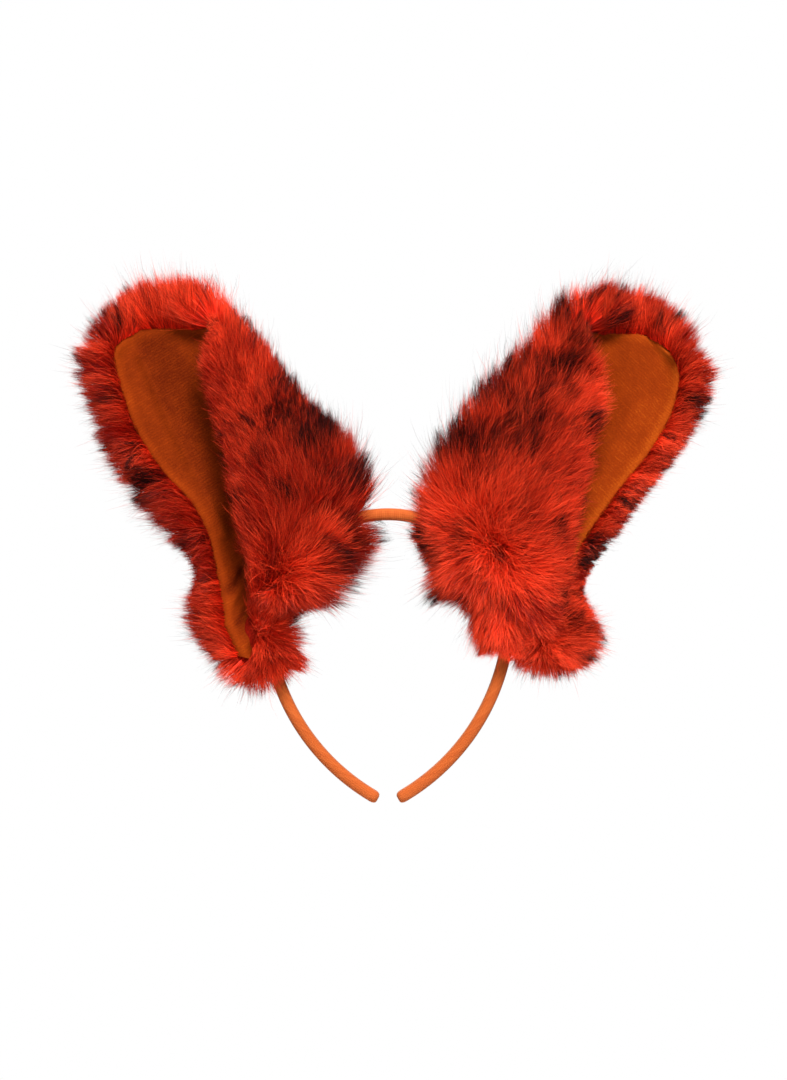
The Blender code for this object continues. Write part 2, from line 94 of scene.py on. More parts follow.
# Numbers of each ear, in millimetres and degrees on its own axes: edges as (height, across), piles
# as (height, length), crest and crest_pile by the share round the leaf, inner_pile by the degrees
# round the band, tone (painted light and shade on the pile) by height, and dark patches as
# (across, height, width, tallness, strength).
LEFT = dict(
    side=-1,
    foot=(-49.0, -48.0),
    lean=22.0,
    wrap_end=106.0,
    whorl=((-50.0, -24.0), (-55.0, -31.0)),
    comb_out=0.0,
    rim_out=10.0,
    outer_edge=((-20, 26), (0, 28), (9, 28.5), (16, 26.5), (35, 23.4), (53, 21), (66, 22), (76, 25),
        (86, 29), (100, 32.5), (115, 34.5), (132, 33.5), (146, 32), (153, 28), (158, 20)),
    crest=((0, 151), (0.06, 155.5), (0.14, 157.5), (0.3, 156), (0.5, 149), (1, 146)),
    seen_top=(157.0, 0.6),
    lobe_edge=((-10, 12), (10, 11), (26, 5), (45, -0.5), (69, -5), (90, -8.5), (119, -12),
        (137, -10.5), (146, -5), (156, -3)),
    seen_from=-12.0,
    seen_edge=((-10, 22), (-3, 16), (10, 15), (21, 11), (45, 4.5), (69, -0.5), (90, -4), (119, -6),
        (137, -7.5), (156, -2)),
    slack=1.0,
    rim_pile=((-10, 10), (5, 18), (20, 18), (29, 13), (38, 9), (48, 13), (58, 20.5), (72, 22.5),
        (88, 20), (102, 18.5), (118, 17.5), (135, 18.5), (149, 19)),
    rim_level=0.45,
    fold_pile=((20, 27), (35, 29.5), (50, 31), (62, 25.5), (78, 19), (105, 19), (120, 21),
        (135, 20)),
    inner_pile=((22, 21), (58, 26.5), (66, 20), (74, 10), (84, 5), (92, 12), (98, 18), (106, 15)),
    waist=(86.0, 0.72),
    crest_pile=((0, 18), (0.12, 18.5), (0.25, 21), (0.36, 25), (0.55, 26), (1, 25)),
    lap=((-63.5, -2.0, -56.0), (8.5, 7.0, 13.5), 18.0),
    # a painted shade over the whole of this ear's lining
    nap_and_painted_shade=-0.19,
    rib_turn=10.0,
    # the pile's painted light and shade by height, and a painted shade on the outer rim's pile
    tone=((-20, 0.10), (20, -0.20), (60, -0.16), (110, -0.14), (150, 0.20)),
    rim_painted_shade=0.16,
    dark=((-40, 124, 5, 16, 0.9), (-33, 96, 4, 14, 0.8), (-33, 84, 4, 12, 0.8),
        (-7, 130, 4, 12, 0.8), (-25, 132, 4, 10, 0.7), (-21, 119, 6, 7, -1.2), (-44, 66, 8, 7, 1.0),
        (-3, 100, 4, 22, 0.8), (5, 56, 5, 6, 1.2), (46, 62, 8, 16, 0.7), (32, 40, 6, 8, 1.3),
        (48, 95, 7, 12, 0.5)),
)
RIGHT = dict(
    side=1,
    foot=(55.0, -49.0),
    lean=23.6,
    wrap_end=97.5,
    whorl=((49.0, -10.0), (54.0, -16.0)),
    comb_out=9.0,
    rim_out=34.0,
    outer_edge=((-20, 28), (16, 26), (48, 21.5), (61, 23.5), (88, 29.5), (102, 33.5), (124, 36),
        (138, 34), (145, 31), (151, 23.5), (156, 14)),
    crest=((0, 150), (0.06, 154), (0.14, 156), (0.3, 155), (0.5, 149), (1, 146)),
    seen_top=(152.5, 0.45),
    lobe_edge=((0, 24), (26, 14), (69, 2), (119, -7), (137, -8), (156, -2)),
    seen_from=44.0,
    seen_edge=((45, 18), (60, 14.3), (79, 11.3), (99, 7.9), (118, 3.9), (142, -7.4), (156, -2)),
    slack=0.5,
    rim_pile=((-10, 14), (2, 20), (12, 19), (22, 10), (30, 4), (42, 6.5), (60, 10.5), (80, 10.5),
        (102, 10.5), (117, 12), (138, 15.5), (150, 18)),
    rim_level=0.0,
    fold_pile=((20, 22), (36, 25), (50, 28), (75, 30), (120, 28), (145, 27)),
    inner_pile=((22, 9), (38, 14), (46, 24), (54, 23), (61, 18), (70, 15), (80, 20), (88, 17),
        (97, 12)),
    waist=(86.0, 0.0),
    crest_pile=((0, 18), (0.25, 19), (0.55, 25), (1, 26)),
    lap=((78.0, -3.0, -55.5), (14.0, 7.0, 7.5), 15.5),
    # a painted shade over the whole of this ear's lining
    nap_and_painted_shade=-0.03,
    rib_turn=20.0,
    # the pile's painted light and shade by height, and a painted shade on the outer rim's pile
    tone=((-20, 0.56), (25, 0.08), (60, 0.02), (110, 0.26), (150, -0.12)),
    rim_painted_shade=0.1,
    dark=((-46, 106, 5, 14, 1.1), (-36, 95, 5, 13, 1.2), (-24, 82, 5, 12, 1.1),
        (-30, 148, 6, 10, 1.0), (44, 124, 7, 7, 1.6), (42, 139, 6, 5, 0.9), (31, 54, 7, 7, 1.0),
        (17, 44, 5, 5, 1.2), (3, 92, 4, 10, 0.6), (-44, 60, 10, 9, 0.5), (-13, 52, 7, 7, -1.2),
        (-4, 66, 7, 7, -1.2)),
)
EARS = {"left": LEFT, "right": RIGHT}


# ---- numbers ----


def curve(points, at):
    """Values at places of the smooth, never overshooting curve through (place, value)."""
    places, values = np.array(points, float).T
    rises = np.diff(values) / np.diff(places)
    slopes = np.zeros(len(points))
    slopes[0], slopes[-1] = rises[0], rises[-1]
    both = rises[:-1] * rises[1:]
    total = rises[:-1] + rises[1:]
    slopes[1:-1] = np.where(both > 0, 2 * both / np.where(both > 0, total, 1.0), 0.0)
    at = np.clip(np.asarray(at, float), places[0], places[-1])
    i = np.clip(np.searchsorted(places, at, side="right") - 1, 0, len(points) - 2)
    span = places[i + 1] - places[i]
    t = (at - places[i]) / span
    return (
        (2 * t**3 - 3 * t**2 + 1) * values[i]
        + (t**3 - 2 * t**2 + t) * span * slopes[i]
        + (3 * t**2 - 2 * t**3) * values[i + 1]
        + (t**3 - t**2) * span * slopes[i + 1]
    )


def smoothstep(low, high, at):
    t = np.clip((at - low) / (high - low), 0, 1)
    return t * t * (3 - 2 * t)


def unit(v):
    return v / np.maximum(np.linalg.norm(v, axis=-1, keepdims=True), 1e-9)


def running(steps, axis):
    """Sums of steps along an axis, from 0."""
    return np.concatenate([0 * np.take(steps, [0], axis), np.cumsum(steps, axis)], axis)


def lengths(points, axis):
    return np.linalg.norm(np.diff(points, axis=axis), axis=-1)


def double_areas(points):
    """Twice the area of each cell of a grid, from its diagonals."""
    one, two = points[1:, 1:] - points[:-1, :-1], points[:-1, 1:] - points[1:, :-1]
    return np.linalg.norm(np.cross(one, two), axis=-1)


# ---- band frame ----


def band_frame(side, angle):
    """Centreline points of the band at angles from the crown, and their outward normals."""
    angle = np.asarray(angle, float)
    normal = np.stack([side * np.sin(angle), np.zeros_like(angle), np.cos(angle)], -1)
    turn = np.array([side * math.sin(CROWN_END), 0.0, math.cos(CROWN_END)])
    leg_centre = CROWN_CENTRE + (CROWN_RADIUS - LEG_RADIUS) * turn
    crown, leg = CROWN_CENTRE + CROWN_RADIUS * normal, leg_centre + LEG_RADIUS * normal
    return np.where((angle <= CROWN_END)[..., None], crown, leg), normal


# ---- ear frame ----


class Ear:
    """An ear's numbers, its directions, and how its pile is brushed."""

    def __init__(self, name):
        self.name, self.dims = name, EARS[name]
        self.side = self.dims["side"]
        x, z = self.dims["foot"]
        self.foot = MM * np.array([x, 0.0, z])
        lean = math.radians(self.dims["lean"])
        sin, cos = math.sin(lean), math.cos(lean)
        self.axis = np.array([self.side * sin, 0.0, cos])
        self.outwards = np.array([self.side * cos, 0.0, -sin])
        self.whorl = [MM * np.array([x, 0.0, z]) for x, z in self.dims["whorl"]]
        _, self.normal = band_frame(self.side, HINGE_ANGLE)
        self.hinge = CROWN_CENTRE + (CROWN_RADIUS + HINGE_OFFSET) * self.normal

    def at(self, key, place):
        return curve(self.dims[key], place)

    def world(self, across, back, height):
        across, back, height = (np.asarray(n)[..., None] for n in (across, back, height))
        point = self.foot + MM * (across * self.outwards + height * self.axis)
        return point + back * (MM * BACKWARDS)

    def direction(self, across, back, along=0.0):
        across, back, along = (n[..., None] for n in np.broadcast_arrays(across, back, along))
        return across * self.outwards + back * BACKWARDS + along * self.axis

    def local(self, point):
        """(across, height) of world points, in millimetres."""
        rel = (point - self.foot) / MM
        return rel @ self.outwards, rel @ self.axis

    def leaning(self, key):
        """The long axis, turned outwards by one of the ear's angles."""
        angle = math.radians(self.dims[key])
        return math.cos(angle) * self.axis + math.sin(angle) * self.outwards

    def comb(self, point):
        """The direction that the pile is brushed in: out of the whorl, then up the ear."""
        rel = self.from_whorl(point)
        climb = rel @ self.axis / MM
        share = smoothstep(-5, 45, climb)[..., None]
        out = rel / (np.linalg.norm(rel, axis=-1, keepdims=True) + 4 * MM)
        return unit((1 - share) * out + (share + 0.12) * self.leaning("comb_out"))

    def stir(self, point):
        """1 at the parting, where the pile stands up and turns all ways, 0 far from it."""
        return np.exp(-((np.linalg.norm(self.from_whorl(point), axis=-1) / (9 * MM)) ** 2))

    def pile_painted_light(self, point):
        """Painted light and shade on the pile: brighter or darker by height for each ear, painted
        shade on the outer rim, and brighter at the parting.
        """
        across, height = self.local(point)
        rim = smoothstep(12, 22, across) * smoothstep(20, 40, height)
        tone = self.at("tone", height) - self.dims["rim_painted_shade"] * rim
        return tone + 0.2 * self.stir(point)

    def from_whorl(self, point):
        """Out of the parting, a short line along the band, square to the view of the face."""
        a, b = self.whorl
        run = b - a
        share = np.clip((point - a) @ run / (run @ run), 0, 1)[..., None]
        return (point - a - share * run) * np.array([1.0, 0.0, 1.0])


def leaf_depth(share, height):
    """How far back the leaf's back lies, at shares 0..1 of its way in from the outer edge."""
    rise = np.clip(share / CUP, 0, 1)
    # low down, the outer edge comes forwards over the wrap
    forward = 9 * (1 - smoothstep(-5, 40, height)) * (1 - smoothstep(0.22, 0.9, share))
    return BACK_DEPTH * (1 - (1 - rise) ** 2) - forward


def section(ear, height, u):
    """Leaf section: (across, back, normal across, normal back) at heights, u 0..1 over it.

    The back runs over u 0..0.45, the fold to 0.7 and the lobe to 1.
    """
    back_end, fold_end = 0.45, 0.7

    def place(u):
        edge, fold = ear.at("outer_edge", height), curve(FOLD_LINE, height)
        radius, turn = curve(FOLD_RADIUS, height), np.radians(curve(FOLD_TURN, height))
        lobe = np.maximum(ear.at("lobe_edge", height) - fold - radius, LEAST_LOBE)
        width = edge - fold - radius
        share = u / back_end
        back_part = edge - width * share, leaf_depth(share, height)
        angle = turn * np.clip((u - back_end) / (fold_end - back_end), 0, 1)
        fold_part = (
            fold + radius - radius * np.sin(angle),
            BACK_DEPTH - radius * (1 - np.cos(angle)),
        )
        run = (u - fold_end) / (1 - fold_end)
        belly = 2.5 * np.sin(np.clip(run, 0, 1) * math.pi) * smoothstep(0, 25, lobe)
        run = np.maximum(run, 0) * lobe
        lobe_part = (
            fold_part[0] - run * np.cos(turn) - belly * np.sin(turn),
            fold_part[1] - run * np.sin(turn) + belly * np.cos(turn),
        )
        parts = zip(back_part, fold_part, lobe_part)
        return (np.select([u < back_end, u < fold_end, u <= 1], part) for part in parts)

    height, u = np.broadcast_arrays(np.asarray(height, float), np.asarray(u, float))
    step = 0.004
    across, back = place(u)
    a0, b0 = place(np.clip(u - step, 0, 1))
    a1, b1 = place(np.clip(u + step, 0, 1))
    run_a, run_b = a1 - a0, b1 - b0
    size = np.maximum(np.hypot(run_a, run_b), 1e-9)
    return across, back, run_b / size, -run_a / size


def foot_heights(ear, u, clear):
    """Heights at which the section at u stands clear millimetres above the hinge plane."""
    height = np.full(len(u), 40.0)
    climb = ear.axis @ ear.normal * MM
    for _ in range(25):
        across, back, _, _ = section(ear, height, u)
        off = (ear.world(across, back, height) - ear.hinge) @ ear.normal
        height = height - 0.8 * (off - clear * MM) / climb
    return height


def leaf_feet(ear, u):
    """The leaf's foot: on the hinge plane, and down to a tip along the outer edge."""
    low = foot_heights(ear, u, -4.0)
    shoulder = np.exp(-(((u - 0.58) / 0.13) ** 2))
    low = low - 26 * shoulder
    tip = 1 - smoothstep(0.10, 0.24, u)
    end = -10.5 + 4.5 * (np.abs(u - 0.035) / 0.042) ** 2
    return low * (1 - tip) + tip * np.minimum(low, np.minimum(end, 10.0))


def leaf_tops(ear, u):
    return ear.at("crest", u)


def leaf_heights(ear, u, share):
    """Heights at shares 0..1 of the way from the leaf's foot to its top."""
    feet = leaf_feet(ear, u)
    return feet + (leaf_tops(ear, u) - feet) * share


# ---- meshes ----


def new_mesh(name, verts, faces, material, uv=None, sizes=None):
    """A mesh object from arrays. faces is (n, 4), or flat with sizes of each face."""
    mesh = bpy.data.meshes.new(name)
    verts = np.asarray(verts, np.float32).reshape(-1, 3)
    faces = np.asarray(faces, np.int32)
    if sizes is None:
        sizes = np.full(len(faces), faces.shape[1], np.int32)
    flat = faces.ravel()
    starts = np.concatenate([[0], np.cumsum(sizes)[:-1]]).astype(np.int32)
    mesh.vertices.add(len(verts))
    mesh.vertices.foreach_set("co", verts.ravel())
    mesh.loops.add(len(flat))
    mesh.loops.foreach_set("vertex_index", flat)
    mesh.polygons.add(len(sizes))
    mesh.polygons.foreach_set("loop_start", starts)
    for layer_name, places in (uv or {}).items():
        layer = mesh.uv_layers.new(name=layer_name)
        layer.data.foreach_set("uv", np.asarray(places, np.float32)[flat].ravel())
    mesh.update(calc_edges=True)
    mesh.validate()
    mesh.materials.append(material)
    obj = bpy.data.objects.new(name, mesh)
    bpy.context.scene.collection.objects.link(obj)
    return obj


def grid_faces(points, flip=False, closed=False):
    rows, cols = points.shape[:2]
    r, c = np.meshgrid(np.arange(rows - 1), np.arange(cols if closed else cols - 1), indexing="ij")
    a = r * cols + c
    b = r * cols + (c + 1) % cols
    quad = np.stack([a, b, b + cols, a + cols], -1).reshape(-1, 4)
    return quad[:, ::-1] if flip else quad


def grid_uv(points):
    """Cloth coordinates in metres: lengths along the rows and down the columns."""
    across, along = (running(lengths(points, axis), axis) for axis in (1, 0))
    return np.stack([across, along], -1).reshape(-1, 2)


# ---- materials ----

RIB_PITCH = 1.35 * MM
ROUND_PITCH = 0.9 * MM
WALE_PITCH = 1.1 * MM


class Nodes:
    """A material with one Principled shader, built by short calls."""

    def __init__(self, name, **sockets):
        self.material = bpy.data.materials.new(name)
        self.material.use_nodes = True
        self.tree = self.material.node_tree
        self.shader = self.tree.nodes["Principled BSDF"]
        for key, value in sockets.items():
            self.shader.inputs[key.replace("_", " ")].default_value = value

    def set(self, socket, value):
        if isinstance(value, bpy.types.NodeSocket):
            self.tree.links.new(value, socket)
        elif value is not None:
            socket.default_value = value

    def add(self, kind, *inputs, output=0, named=None, **settings):
        """A new node's output, from inputs by place and by name."""
        node = self.tree.nodes.new("ShaderNode" + kind)
        for key, value in settings.items():
            setattr(node, key, value)
        for key, value in [*enumerate(inputs), *(named or {}).items()]:
            self.set(node.inputs[key], value)
        return node.outputs[output]

    def math(self, operation, a, b=None, c=None):
        return self.add("Math", a, b, c, operation=operation)

    def times(self, a, b, plus=None):
        return self.math("MULTIPLY" if plus is None else "MULTIPLY_ADD", a, b, plus)

    def uv(self, name):
        return self.add("UVMap", uv_map=name)

    def place(self):
        return self.add("TexCoord", output="Object")

    def split(self, vector):
        """The first two numbers of a vector."""
        node = self.tree.nodes.new("ShaderNodeSeparateXYZ")
        self.set(node.inputs[0], vector)
        return node.outputs[0], node.outputs[1]

    def noise(self, vector, scale, detail=2.0, roughness=0.5):
        named = {"Vector": vector, "Scale": scale, "Detail": detail, "Roughness": roughness}
        return self.add("TexNoise", output="Fac", named=named)

    def stretched(self, vector, scale):
        return self.add("Mapping", vector, named={"Scale": scale})

    def ridges(self, place, pitch, wobble=None):
        """Waves 0..1 with a pitch in metres, shifted by a wobble in radians."""
        phase = self.times(place, 2 * math.pi / pitch)
        if wobble is not None:
            phase = self.math("ADD", phase, wobble)
        return self.times(self.math("SINE", phase), 0.5, 0.5)

    def ramp(self, value, *stops):
        """A colour ramp with a (place, colour) for each stop."""
        node = self.tree.nodes.new("ShaderNodeValToRGB")
        self.set(node.inputs[0], value)
        elements = node.color_ramp.elements
        while len(elements) < len(stops):
            elements.new(0.5)
        for element, (place, colour) in zip(elements, stops):
            element.position = place
            element.color = (*colour, 1.0)
        return node.outputs[0]

    def mix(self, share, a, b):
        return self.add("Mix", output=2, named={0: share, 6: a, 7: b}, data_type="RGBA")

    def bump(self, height, strength, distance):
        named = {"Strength": strength, "Distance": distance, "Height": height}
        self.set(self.shader.inputs["Normal"], self.add("Bump", named=named))

    def colour(self, value):
        self.set(self.shader.inputs["Base Color"], value)


# columns of the strand map: steps of tone within steps of the dark tip's share
TONES = 16
TIPS = 8
COLUMNS = TONES * TIPS


def fur_material():
    """Strand colours over the strand map: columns hold tone and tip, v runs to the tip."""
    m = Nodes("fur_strands", Roughness=0.5, Specular_IOR_Level=0.08)
    place, along = m.split(m.uv("OFBake"))
    column = m.math("FLOOR", m.times(place, COLUMNS))
    tone = m.math("DIVIDE", m.math("MODULO", column, TONES), TONES - 1.0)
    tip = m.math("DIVIDE", m.math("FLOOR", m.math("DIVIDE", column, TONES)), TIPS - 1.0)
    # both ramps are dark at the root, a painted shade deep in the pile; the paler tip colour is
    # partly a painted highlight
    deep = m.ramp(along, (0.0, (0.05, 0.0005, 0.0001)), (0.35, (0.15, 0.0015, 0.0003)),
                  (0.75, (0.25, 0.003, 0.0006)), (1.0, (0.24, 0.003, 0.0008)))
    bright = m.ramp(along, (0.0, (0.26, 0.003, 0.0005)), (0.35, (0.82, 0.018, 0.004)),
                    (0.75, (1.0, 0.062, 0.018)), (1.0, (1.0, 0.090, 0.032)))
    # the dark length grows with the tip's share
    edge = m.math("SUBTRACT", 1.02, m.times(tip, 0.62))
    dark = m.add("Clamp", m.times(m.math("SUBTRACT", along, edge), 5.0))
    m.colour(m.mix(dark, m.mix(tone, deep, bright), (0.016, 0.002, 0.0015, 1.0)))
    return m.material


def velour_material():
    """Ribbed velour: fine ribs across the ear, a soft nap, and a rubbed patchiness.

    The cloth map gives places in metres, and the painted light map's first number paints light and
    shade onto the lining: a painted highlight where it is high, painted shade where it is low.
    """
    m = Nodes("velour", Roughness=0.85, Sheen_Weight=0.2, Sheen_Roughness=0.4,
              Sheen_Tint=(1.0, 0.36, 0.04, 1.0), Specular_IOR_Level=0.03)
    uv = m.uv("cloth")
    # the map of painted light: painted highlights and painted shade added to the lining's colour
    lining_painted_light, _ = m.split(m.uv("lining_painted_light"))
    wobble = m.times(m.noise(uv, 150.0, 3.0, 0.6), 14.0)
    # each rib shows in short dashes
    rib_wear_and_painted_light = m.noise(m.stretched(uv, (0.6, 1.5, 1.0)), 420.0, 3.0, 0.6)
    rib_wear_and_painted_light = m.add("Clamp", m.times(rib_wear_and_painted_light, 4.0, -1.5))
    rib = m.times(m.ridges(m.split(uv)[1], RIB_PITCH, wobble), rib_wear_and_painted_light)
    nap_and_painted_shade = m.noise(m.stretched(uv, (1.0, 2.0, 1.0)), 1100.0, 3.0, 0.7)
    patch = m.noise(uv, 70.0, 3.0)
    tone = m.times(rib, 0.14, m.times(nap_and_painted_shade, 0.6))
    tone = m.times(patch, 0.32, m.math("SUBTRACT", tone, 0.49))
    m.colour(m.ramp(m.math("ADD", tone, lining_painted_light), (0.1, (0.08, 0.007, 0.0004)),
                    (0.5, (0.215, 0.026, 0.0015)), (0.9, (0.40, 0.076, 0.005))))
    m.bump(m.times(rib, 0.35, m.times(nap_and_painted_shade, 0.7)), 0.4, 0.0004)
    return m.material


def knit_material():
    """The sleeve's knit: fine rounds across the band, loose fibres, and soft patchy bands."""
    m = Nodes("band_knit", Roughness=0.8, Sheen_Weight=0.2, Sheen_Roughness=0.5,
              Sheen_Tint=(1.0, 0.6, 0.35, 1.0), Specular_IOR_Level=0.2)
    uv = m.uv("cloth")
    across, along = m.split(uv)
    rounds = m.ridges(along, ROUND_PITCH, m.times(m.noise(uv, 200.0, 2.0), 2.5))
    wales = m.ridges(across, WALE_PITCH)
    knit = m.times(rounds, 0.65, m.times(wales, 0.35))
    bands = m.noise(m.stretched(uv, (60.0, 520.0, 1.0)), 1.0, 2.0)
    fibre = m.noise(uv, 1800.0, 3.0, 0.7)
    tone = m.times(knit, 0.25, m.times(bands, 0.5))
    m.colour(m.ramp(m.times(fibre, 0.3, tone), (0.25, (0.31, 0.047, 0.004)),
                    (0.5, (0.41, 0.075, 0.009)), (0.8, (0.54, 0.122, 0.022))))
    m.bump(m.times(knit, 0.7, m.times(fibre, 0.5)), 0.5, 0.0003)
    return m.material


def grained(name, low, high, scale, bump, depth=0.0003, rough=0.6, **sockets):
    """A material in two close colours, over one noise that also gives its bump."""
    m = Nodes(name, **sockets)
    grain = m.noise(m.place(), scale, 3.0, rough)
    m.colour(m.ramp(grain, (0.3, low), (0.7, high)))
    m.bump(grain, bump, depth)
    return m.material


# ---- band sleeve ----


def sleeve_section():
    """(outwards, back) round the band, from the seam on its inner face and back to it."""
    corner, steps = 2.6 * MM, 6
    ring = []
    for quarter, sx, sy in ((2, -1, -1), (3, 1, -1), (0, 1, 1), (1, -1, 1)):
        mx, my = sx * (BAND_THICK / 2 - corner), sy * (BAND_DEPTH / 2 - corner)
        for k in range(steps + 1):
            turn = math.pi / 2 * (quarter + k / steps)
            ring.append((mx + corner * math.cos(turn), my + corner * math.sin(turn)))
    face = -BAND_THICK / 2
    seam = (face + 0.15 * MM, 0.0)
    return np.array([seam, (face, -1.0 * MM), *ring, (face, 1.0 * MM), seam])


def build_sleeve(name, material):
    side, rings, cap_rings = SIDES[name], 150, 7
    ring = sleeve_section()
    cap = np.linspace(0, math.pi / 2, cap_rings + 1)[1:]
    angle = np.concatenate([np.linspace(0, 1, rings) * CORE_END,
                            CORE_END + (TIP_END - CORE_END) * np.sin(cap)])
    shrink = np.concatenate([np.ones(rings), np.cos(cap) ** 0.45])[:, None, None]
    centre, normal = band_frame(side, angle)
    out, back = ring[:, :1] * shrink, ring[:, 1:] * shrink
    points = centre[:, None] + out * normal[:, None] + back * BACKWARDS
    faces = grid_faces(points, flip=side > 0)
    obj = new_mesh(f"sleeve_{name}", points, faces, material, uv={"cloth": grid_uv(points)})
    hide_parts("band_sleeve_crown", f"band_sleeve_{name}", f"band_sleeve_end_{name}")
    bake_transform(obj)


# ---- leaf sheets ----


def edged(count, reach):
    """0..1 in steps that crowd towards both ends."""
    edge = reach * (1 - np.cos(np.linspace(0, math.pi / 2, 7)))
    middle = np.linspace(reach, 1 - reach, count)[1:-1]
    return np.concatenate([edge, middle, 1 - edge[::-1]])


def rounding(ear, height, u, run, reach):
    """0 at the seams, 1 inside: a quarter round over the sheet's edges and its top."""
    near = np.minimum(np.minimum(run, run[:, -1:] - run), np.maximum(leaf_tops(ear, u) - height, 0))
    share = 1 - np.clip(near / reach, 0, 1)
    return np.sqrt(np.maximum(1 - share**2, 0))


def leaf_sheet(ear, offset, shaped=False):
    """A sheet of the leaf, its cloth coordinates, and the painted light and shade of a shaped one.
    """
    u = edged(84, 0.035)
    height = leaf_heights(ear, u, edged(90, 0.03)[:, None])
    across, back, na, nb = section(ear, height, u)
    run = running(np.hypot(np.diff(across, axis=1), np.diff(back, axis=1)), 1)
    off = offset * rounding(ear, height, u, run, abs(offset) + 0.4)
    lining_painted_light = 0.5 + 0 * height
    if shaped:
        slack, lining_painted_light = lining_shape(ear, height, across, u)
        off = off + slack
    points = ear.world(across + off * na, back + off * nb, height)
    turn = math.radians(ear.dims["rib_turn"])
    sin, cos = math.sin(turn), math.cos(turn)
    cloth = MM * np.stack([run * cos + height * sin, height * cos - run * sin], -1)
    # the painted light and shade go to the velour in a map of their own
    rib_wear_and_painted_light = np.stack([lining_painted_light, lining_painted_light], -1)
    return points, {"cloth": cloth.reshape(-1, 2), "lining_painted_light": rib_wear_and_painted_light.reshape(-1, 2)}


def crease(across, height, start, end, wide):
    """A soft line between two places (across, height): 1 on it, 0 away from it."""
    a = np.stack([across, height], -1) - np.array(start, float)
    run = np.array(end, float) - np.array(start, float)
    share = np.clip(a @ run / (run @ run), 0, 1)
    off = np.linalg.norm(a - share[..., None] * run, axis=-1)
    return np.exp(-((off / wide) ** 2))


# lines on the lining, as places (across, height): a soft ridge, a step, short pinches, and
# hollows with how wide they are; the hollows are only painted shade, with no shape of their own
RIDGE = ((18, 144), (17, 110), (15, 77), (15, 50))
STEP = ((-3, 150), (0, 118), (3, 90), (7, 60), (9, 40))
PINCHES = (((8, 27), (24, 17)), ((9, 36), (19, 27)), ((19, 2), (25, -6)), ((0, 58), (12, 40)))
PAINTED_SHADE_HOLLOWS = (((13, 31), (22, 24), 2.2), ((18, 12), (24, 7), 1.5))


def beyond(line, across, height, wide):
    """0 outwards of a line up the ear, 1 inwards of it."""
    places = np.array(line[::-1], float)
    return smoothstep(wide, -wide, across - np.interp(height, places[:, 1], places[:, 0]))


def lining_shape(ear, height, across, u):
    """Slack of the lining towards the viewer in millimetres, and the painted light and shade on its
    colour.
    """
    on_back = 1 - smoothstep(0.40, 0.5, u)
    inside = smoothstep(0.0, 0.05, u) * (1 - smoothstep(0.93, 1.0, height / TOP))
    loose = ear.dims["slack"]
    ridge = 0.0
    for a, b in zip(RIDGE, RIDGE[1:]):
        ridge = np.maximum(ridge, crease(across, height, a, b, 3.2))
    pinch = 0.0
    for k, (a, b) in enumerate(PINCHES):
        pinch = pinch + (1.0 - 0.2 * k) * crease(across, height, a, b, 1.5)
    swell = 0.5 * np.sin(height * 0.085 + across * 0.05) * np.sin(across * 0.13 + 1.0)
    middle, medial = (beyond(line, across, height, 3.0) for line in (RIDGE, STEP))
    up = smoothstep(38, 60, height)
    slack = loose * (2.2 * ridge + 1.6 * pinch - 0.7 * medial * up) + swell
    # painted highlights along the rolled outer edge and a little below the top
    painted_edge_highlight = np.exp(-(((ear.at("outer_edge", height) - across - 2.0) / 2.2) ** 2))
    over = np.exp(-(((leaf_tops(ear, u) - height - 3.0) / 3.0) ** 2))
    # painted shade in the hollows
    painted_hollow_shade = sum(crease(across, height, *line) for line in PAINTED_SHADE_HOLLOWS)
    # painted shade over the middle of the lining, less of it on the medial side, higher up
    lining_painted_light = 0.5 + 0.14 * np.maximum(painted_edge_highlight, over) - loose * up * (0.12 * middle - 0.10 * medial)
    # a painted shade over the whole of this ear's lining
    lining_painted_light = lining_painted_light + ear.dims["nap_and_painted_shade"]
    # painted highlights along the pinches and painted shade in the hollows
    return -slack * on_back * inside, lining_painted_light + loose * (0.06 * pinch - 0.22 * painted_hollow_shade)


def finish_leaf_piece(obj, ear, node):
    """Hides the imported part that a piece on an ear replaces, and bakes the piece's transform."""
    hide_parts(f"{node}_{ear.name}")
    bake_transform(obj)


def build_sheet(ear, name, material, node, offset, flip, shaped=False):
    """A sheet stretched over the foam: the lining in front, or the backing of the fur."""
    points, uv = leaf_sheet(ear, offset, shaped)
    faces = grid_faces(points, flip=flip)
    obj = new_mesh(f"{name}_{ear.name}", points, faces, material, uv=uv if shaped else None)
    finish_leaf_piece(obj, ear, node)


def build_foam(ear, material):
    """Padding of two skins that stop short of the seams, closed by a rim."""
    u, share = np.linspace(0.03, 0.97, 40), np.linspace(0, 1, 40)[:, None]
    feet = leaf_feet(ear, u) + 3.0
    height = feet + (leaf_tops(ear, u) - 4 - feet) * share
    across, back, na, nb = section(ear, height, u)
    skins = [ear.world(across + o * na, back + o * nb, height) for o in (-1.0, 1.0)]
    count, flip = height.size, ear.side < 0
    faces = [grid_faces(height, flip=flip), grid_faces(height, flip=not flip) + count]
    ids = np.arange(count).reshape(height.shape)
    ids = np.concatenate([ids[0, :-1], ids[:-1, -1], ids[-1, :0:-1], ids[:0:-1, 0]])
    following = np.roll(ids, -1)
    rim = np.stack([following, ids, ids + count, following + count], -1)
    faces.append(rim[:, ::-1] if flip else rim)
    obj = new_mesh(f"foam_{ear.name}", np.stack(skins), np.concatenate(faces), material)
    finish_leaf_piece(obj, ear, "ear_foam")


